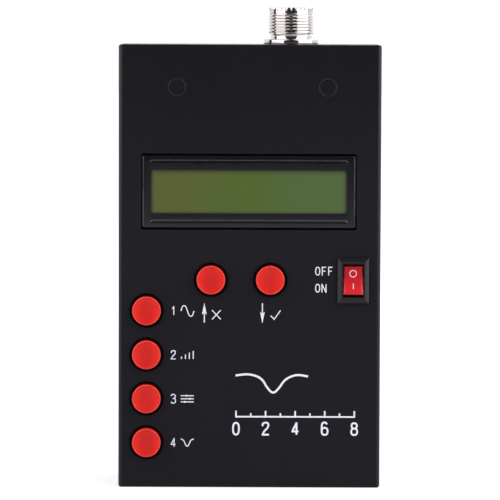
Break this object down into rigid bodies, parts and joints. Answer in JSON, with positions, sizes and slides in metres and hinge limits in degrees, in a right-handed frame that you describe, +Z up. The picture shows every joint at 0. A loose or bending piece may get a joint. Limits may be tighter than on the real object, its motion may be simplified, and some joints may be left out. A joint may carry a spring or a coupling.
{
  "type": "antenna analyzer",
  "caption": "Hand-held antenna analyzer in a folded black sheet-metal box: character display, round push buttons, rocker switch and threaded antenna socket.",
  "frame": {"origin": "middle of the bottom end, which the box stands on", "axes": "+Z up along the box towards the antenna socket, -Y out of the front panel, +X to the right seen from the front"},
  "size_m": [0.0886, 0.0435, 0.1621],
  "materials": {
    "powder_coat": "fine matte black powder coat",
    "black_screw": "black zinc, satin",
    "foot_rubber": "matte",
    "display_paint": "satin black paint on stamped steel",
    "display_glass": "yellow-green liquid crystal, unlit",
    "backlight": "frosted",
    "contact_rubber": "matte",
    "green_board": "solder mask",
    "black_plastic": "fine grain",
    "chip_plastic": "matte moulding",
    "gold_pins": "gold flash",
    "bright_steel": "zinc plated",
    "red_cap": "satin red",
    "red_rocker": "glossy red, white marks",
    "plunger_plastic": "moulded",
    "nickel": "bright nickel plate",
    "white_insulator": "waxy white",
    "silver_contact": "plated brass",
    "cell_wrap": "shrink sleeve on a metal can",
    "red_lead": "soft insulation",
    "capacitor_can": "bare top, sleeve"
  },
  "bodies": {
    "case": {"front_cover": "powder_coat", "rear_chassis": "powder_coat", "cover_screws": "black_screw", "rubber_feet": "foot_rubber", "display_frame": "display_paint", "display_glass": "display_glass", "display_backlight": "backlight", "display_contact_strips": "contact_rubber", "display_board": "green_board", "display_spacers": "bright_steel", "display_screws": "bright_steel", "header_strip": "black_plastic", "header_pins": "gold_pins", "main_board": "green_board", "panel_standoffs": "bright_steel", "board_screws": "bright_steel", "controller_chip": "chip_plastic", "synthesizer_chip": "chip_plastic", "regulator_chip": "chip_plastic", "shield_can": "bright_steel", "capacitors": "capacitor_can", "switch_covers": "black_screw", "switch_domes": "bright_steel", "rocker_housing": "black_plastic", "rocker_terminals": "silver_contact", "socket_shell": "nickel", "socket_insulator": "white_insulator", "socket_contact": "silver_contact", "socket_washer": "nickel", "socket_nut": "nickel", "ground_lug": "nickel", "signal_wire": "red_lead", "battery_cells": "cell_wrap", "battery_strap": "bright_steel", "battery_lead": "red_lead", "power_jack": "black_plastic", "power_jack_pin": "nickel", "usb_socket": "nickel", "usb_tongue": "black_plastic", "key_1_switch": "black_plastic", "key_2_switch": "black_plastic", "key_3_switch": "black_plastic", "key_4_switch": "black_plastic", "arrow_up_switch": "black_plastic", "arrow_down_switch": "black_plastic"},
    "key_1_button": {"key_1_cap": "red_cap", "key_1_plunger": "plunger_plastic"},
    "key_2_button": {"key_2_cap": "red_cap", "key_2_plunger": "plunger_plastic"},
    "key_3_button": {"key_3_cap": "red_cap", "key_3_plunger": "plunger_plastic"},
    "key_4_button": {"key_4_cap": "red_cap", "key_4_plunger": "plunger_plastic"},
    "arrow_up_button": {"arrow_up_cap": "red_cap", "arrow_up_plunger": "plunger_plastic"},
    "arrow_down_button": {"arrow_down_cap": "red_cap", "arrow_down_plunger": "plunger_plastic"},
    "rocker": {"rocker": "red_rocker"},
    "rocker_contact": {"rocker_contact": "silver_contact"}
  },
  "joints": [
    {"name": "key_1_press", "type": "slide", "parent": "case", "child": "key_1_button", "axis": [0, 1, 0], "range_m": [0, 0.0003], "stiffness_N_per_m": 800, "springref_m": -0.0015, "deforming": ["switch_domes"]},
    {"name": "key_2_press", "type": "slide", "parent": "case", "child": "key_2_button", "axis": [0, 1, 0], "range_m": [0, 0.0003], "stiffness_N_per_m": 800, "springref_m": -0.0015, "deforming": ["switch_domes"]},
    {"name": "key_3_press", "type": "slide", "parent": "case", "child": "key_3_button", "axis": [0, 1, 0], "range_m": [0, 0.0003], "stiffness_N_per_m": 800, "springref_m": -0.0015, "deforming": ["switch_domes"]},
    {"name": "key_4_press", "type": "slide", "parent": "case", "child": "key_4_button", "axis": [0, 1, 0], "range_m": [0, 0.0003], "stiffness_N_per_m": 800, "springref_m": -0.0015, "deforming": ["switch_domes"]},
    {"name": "arrow_up_press", "type": "slide", "parent": "case", "child": "arrow_up_button", "axis": [0, 1, 0], "range_m": [0, 0.0003], "stiffness_N_per_m": 800, "springref_m": -0.0015, "deforming": ["switch_domes"]},
    {"name": "arrow_down_press", "type": "slide", "parent": "case", "child": "arrow_down_button", "axis": [0, 1, 0], "range_m": [0, 0.0003], "stiffness_N_per_m": 800, "springref_m": -0.0015, "deforming": ["switch_domes"]},
    {"name": "rocker_tilt", "type": "hinge", "parent": "case", "child": "rocker", "pos_m": [0.035, -0.0195, 0.0703], "axis": [1, 0, 0], "range_deg": [0, 18]},
    {"name": "rocker_contact_tilt", "type": "hinge", "parent": "case", "child": "rocker_contact", "pos_m": [0.035, -0.01405, 0.0703], "axis": [1, 0, 0], "range_deg": [-16, 0]}
  ],
  "couplings": [
    {"joint": "rocker_contact_tilt", "follows": "rocker_tilt", "ratio": -0.88889}
  ]
}
